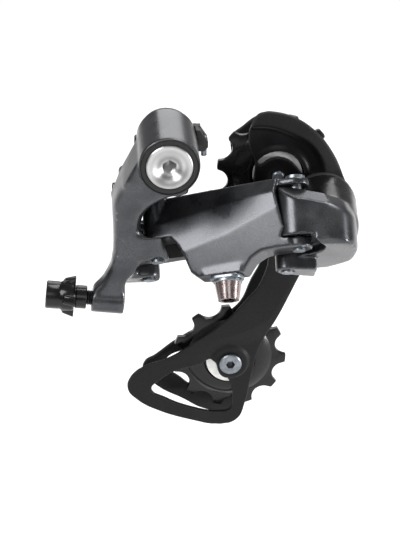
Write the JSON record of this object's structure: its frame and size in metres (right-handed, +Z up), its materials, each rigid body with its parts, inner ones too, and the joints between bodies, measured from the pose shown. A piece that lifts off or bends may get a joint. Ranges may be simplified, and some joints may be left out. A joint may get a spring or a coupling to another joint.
{
  "type": "rear bicycle derailleur",
  "caption": "Bicycle rear derailleur with a leaning parallelogram of links, sprung pivots and a two-pulley chain cage, bolted to a frame hanger.",
  "frame": {"origin": "mounting bolt axis at the plane that seats on the frame's hanger", "axes": "+X towards the front of the bicycle, +Y inboard towards the wheel along the mounting bolt, +Z up"},
  "size_m": [0.1201, 0.0575, 0.1421],
  "materials": {
    "satin_grey_alloy": "satin metallic grey paint",
    "black_plate": "satin black coating",
    "black_resin": "moulded black resin",
    "turned_steel": "lathe-turned face",
    "zinc_steel": "zinc plated",
    "clamp_alloy": "pink-tinged bright plating",
    "adjuster_steel": "blackened thread",
    "spring_steel": "oiled spring wire",
    "seal_rubber": "moulded seal",
    "sintered_bronze": "oil-filled bushing",
    "pressed_steel": "pressed cap"
  },
  "bodies": {
    "mount": {"mounting_bolt": "turned_steel", "stop_plate": "black_plate", "stop_screw": "zinc_steel"},
    "bracket": {"bracket_body": "satin_grey_alloy", "barrel_bushing": "sintered_bronze", "barrel_seal": "seal_rubber", "barrel_spring": "spring_steel", "high_limit_screw": "zinc_steel", "low_limit_screw": "zinc_steel", "outer_rear_pin": "zinc_steel", "inner_rear_pin": "zinc_steel", "return_spring": "spring_steel"},
    "adjuster": {"adjuster_bolt": "adjuster_steel", "adjuster_knob": "black_resin"},
    "outer_link": {"outer_link": "satin_grey_alloy", "clamp_plate": "zinc_steel", "clamp_washer": "zinc_steel", "clamp_bolt": "clamp_alloy"},
    "inner_link": {"inner_link": "black_plate"},
    "knuckle": {"front_knuckle": "satin_grey_alloy", "outer_front_pin": "zinc_steel", "inner_front_pin": "zinc_steel", "axle_screw": "zinc_steel", "knuckle_spring": "spring_steel"},
    "cage": {"cage_pivot": "zinc_steel", "knuckle_seal": "seal_rubber", "outer_plate": "black_plate", "inner_plate": "black_plate", "cage_stop_pin": "zinc_steel", "guide_bolt": "zinc_steel", "tension_bolt": "zinc_steel", "guide_bushing": "sintered_bronze", "tension_bushing": "sintered_bronze", "guide_dust_caps": "pressed_steel", "tension_dust_caps": "pressed_steel"},
    "guide_wheel": {"guide_pulley": "black_resin"},
    "tension_wheel": {"tension_pulley": "black_resin"}
  },
  "joints": [
    {"name": "bracket_swing", "type": "hinge", "parent": "mount", "child": "bracket", "pos_m": [0, 0, 0], "axis": [0, 1, 0], "range_deg": [0, 40], "stiffness_Nm_per_rad": 0.3, "springref_deg": -28.65},
    {"name": "shift_swing", "type": "hinge", "parent": "bracket", "child": "outer_link", "pos_m": [-0.00415, -0.00997, -0.03588], "axis": [0, 0.6691, 0.7431], "range_deg": [0, 40], "stiffness_Nm_per_rad": 0.4, "springref_deg": -28.65},
    {"name": "inner_link_swing", "type": "hinge", "parent": "bracket", "child": "inner_link", "pos_m": [-0.00735, -0.00194, -0.04714], "axis": [0, 0.6691, 0.7431], "range_deg": [0, 40]},
    {"name": "knuckle_swing", "type": "hinge", "parent": "outer_link", "child": "knuckle", "pos_m": [0.04684, -0.02662, -0.02358], "axis": [0, 0.6691, 0.7431], "range_deg": [-40, 0]},
    {"name": "cage_swing", "type": "hinge", "parent": "knuckle", "child": "cage", "pos_m": [0.0596, 0, -0.031], "axis": [0, -1, 0], "range_deg": [0, 110], "stiffness_Nm_per_rad": 0.2, "springref_deg": -68.75},
    {"name": "guide_spin", "type": "hinge", "parent": "cage", "child": "guide_wheel", "pos_m": [0.0426, 0.008, -0.0198], "axis": [0, 1, 0], "continuous": true},
    {"name": "tension_spin", "type": "hinge", "parent": "cage", "child": "tension_wheel", "pos_m": [0.0251, 0.008, -0.1012], "axis": [0, 1, 0], "continuous": true},
    {"name": "adjuster_turn", "type": "hinge", "parent": "bracket", "child": "adjuster", "pos_m": [-0.02935, -0.015, -0.06074], "axis": [-0.9925, 0, 0.1219], "range_deg": [-360, 360]}
  ],
  "couplings": [
    {"joint": "inner_link_swing", "follows": "shift_swing", "ratio": 1},
    {"joint": "knuckle_swing", "follows": "shift_swing", "ratio": -1}
  ]
}
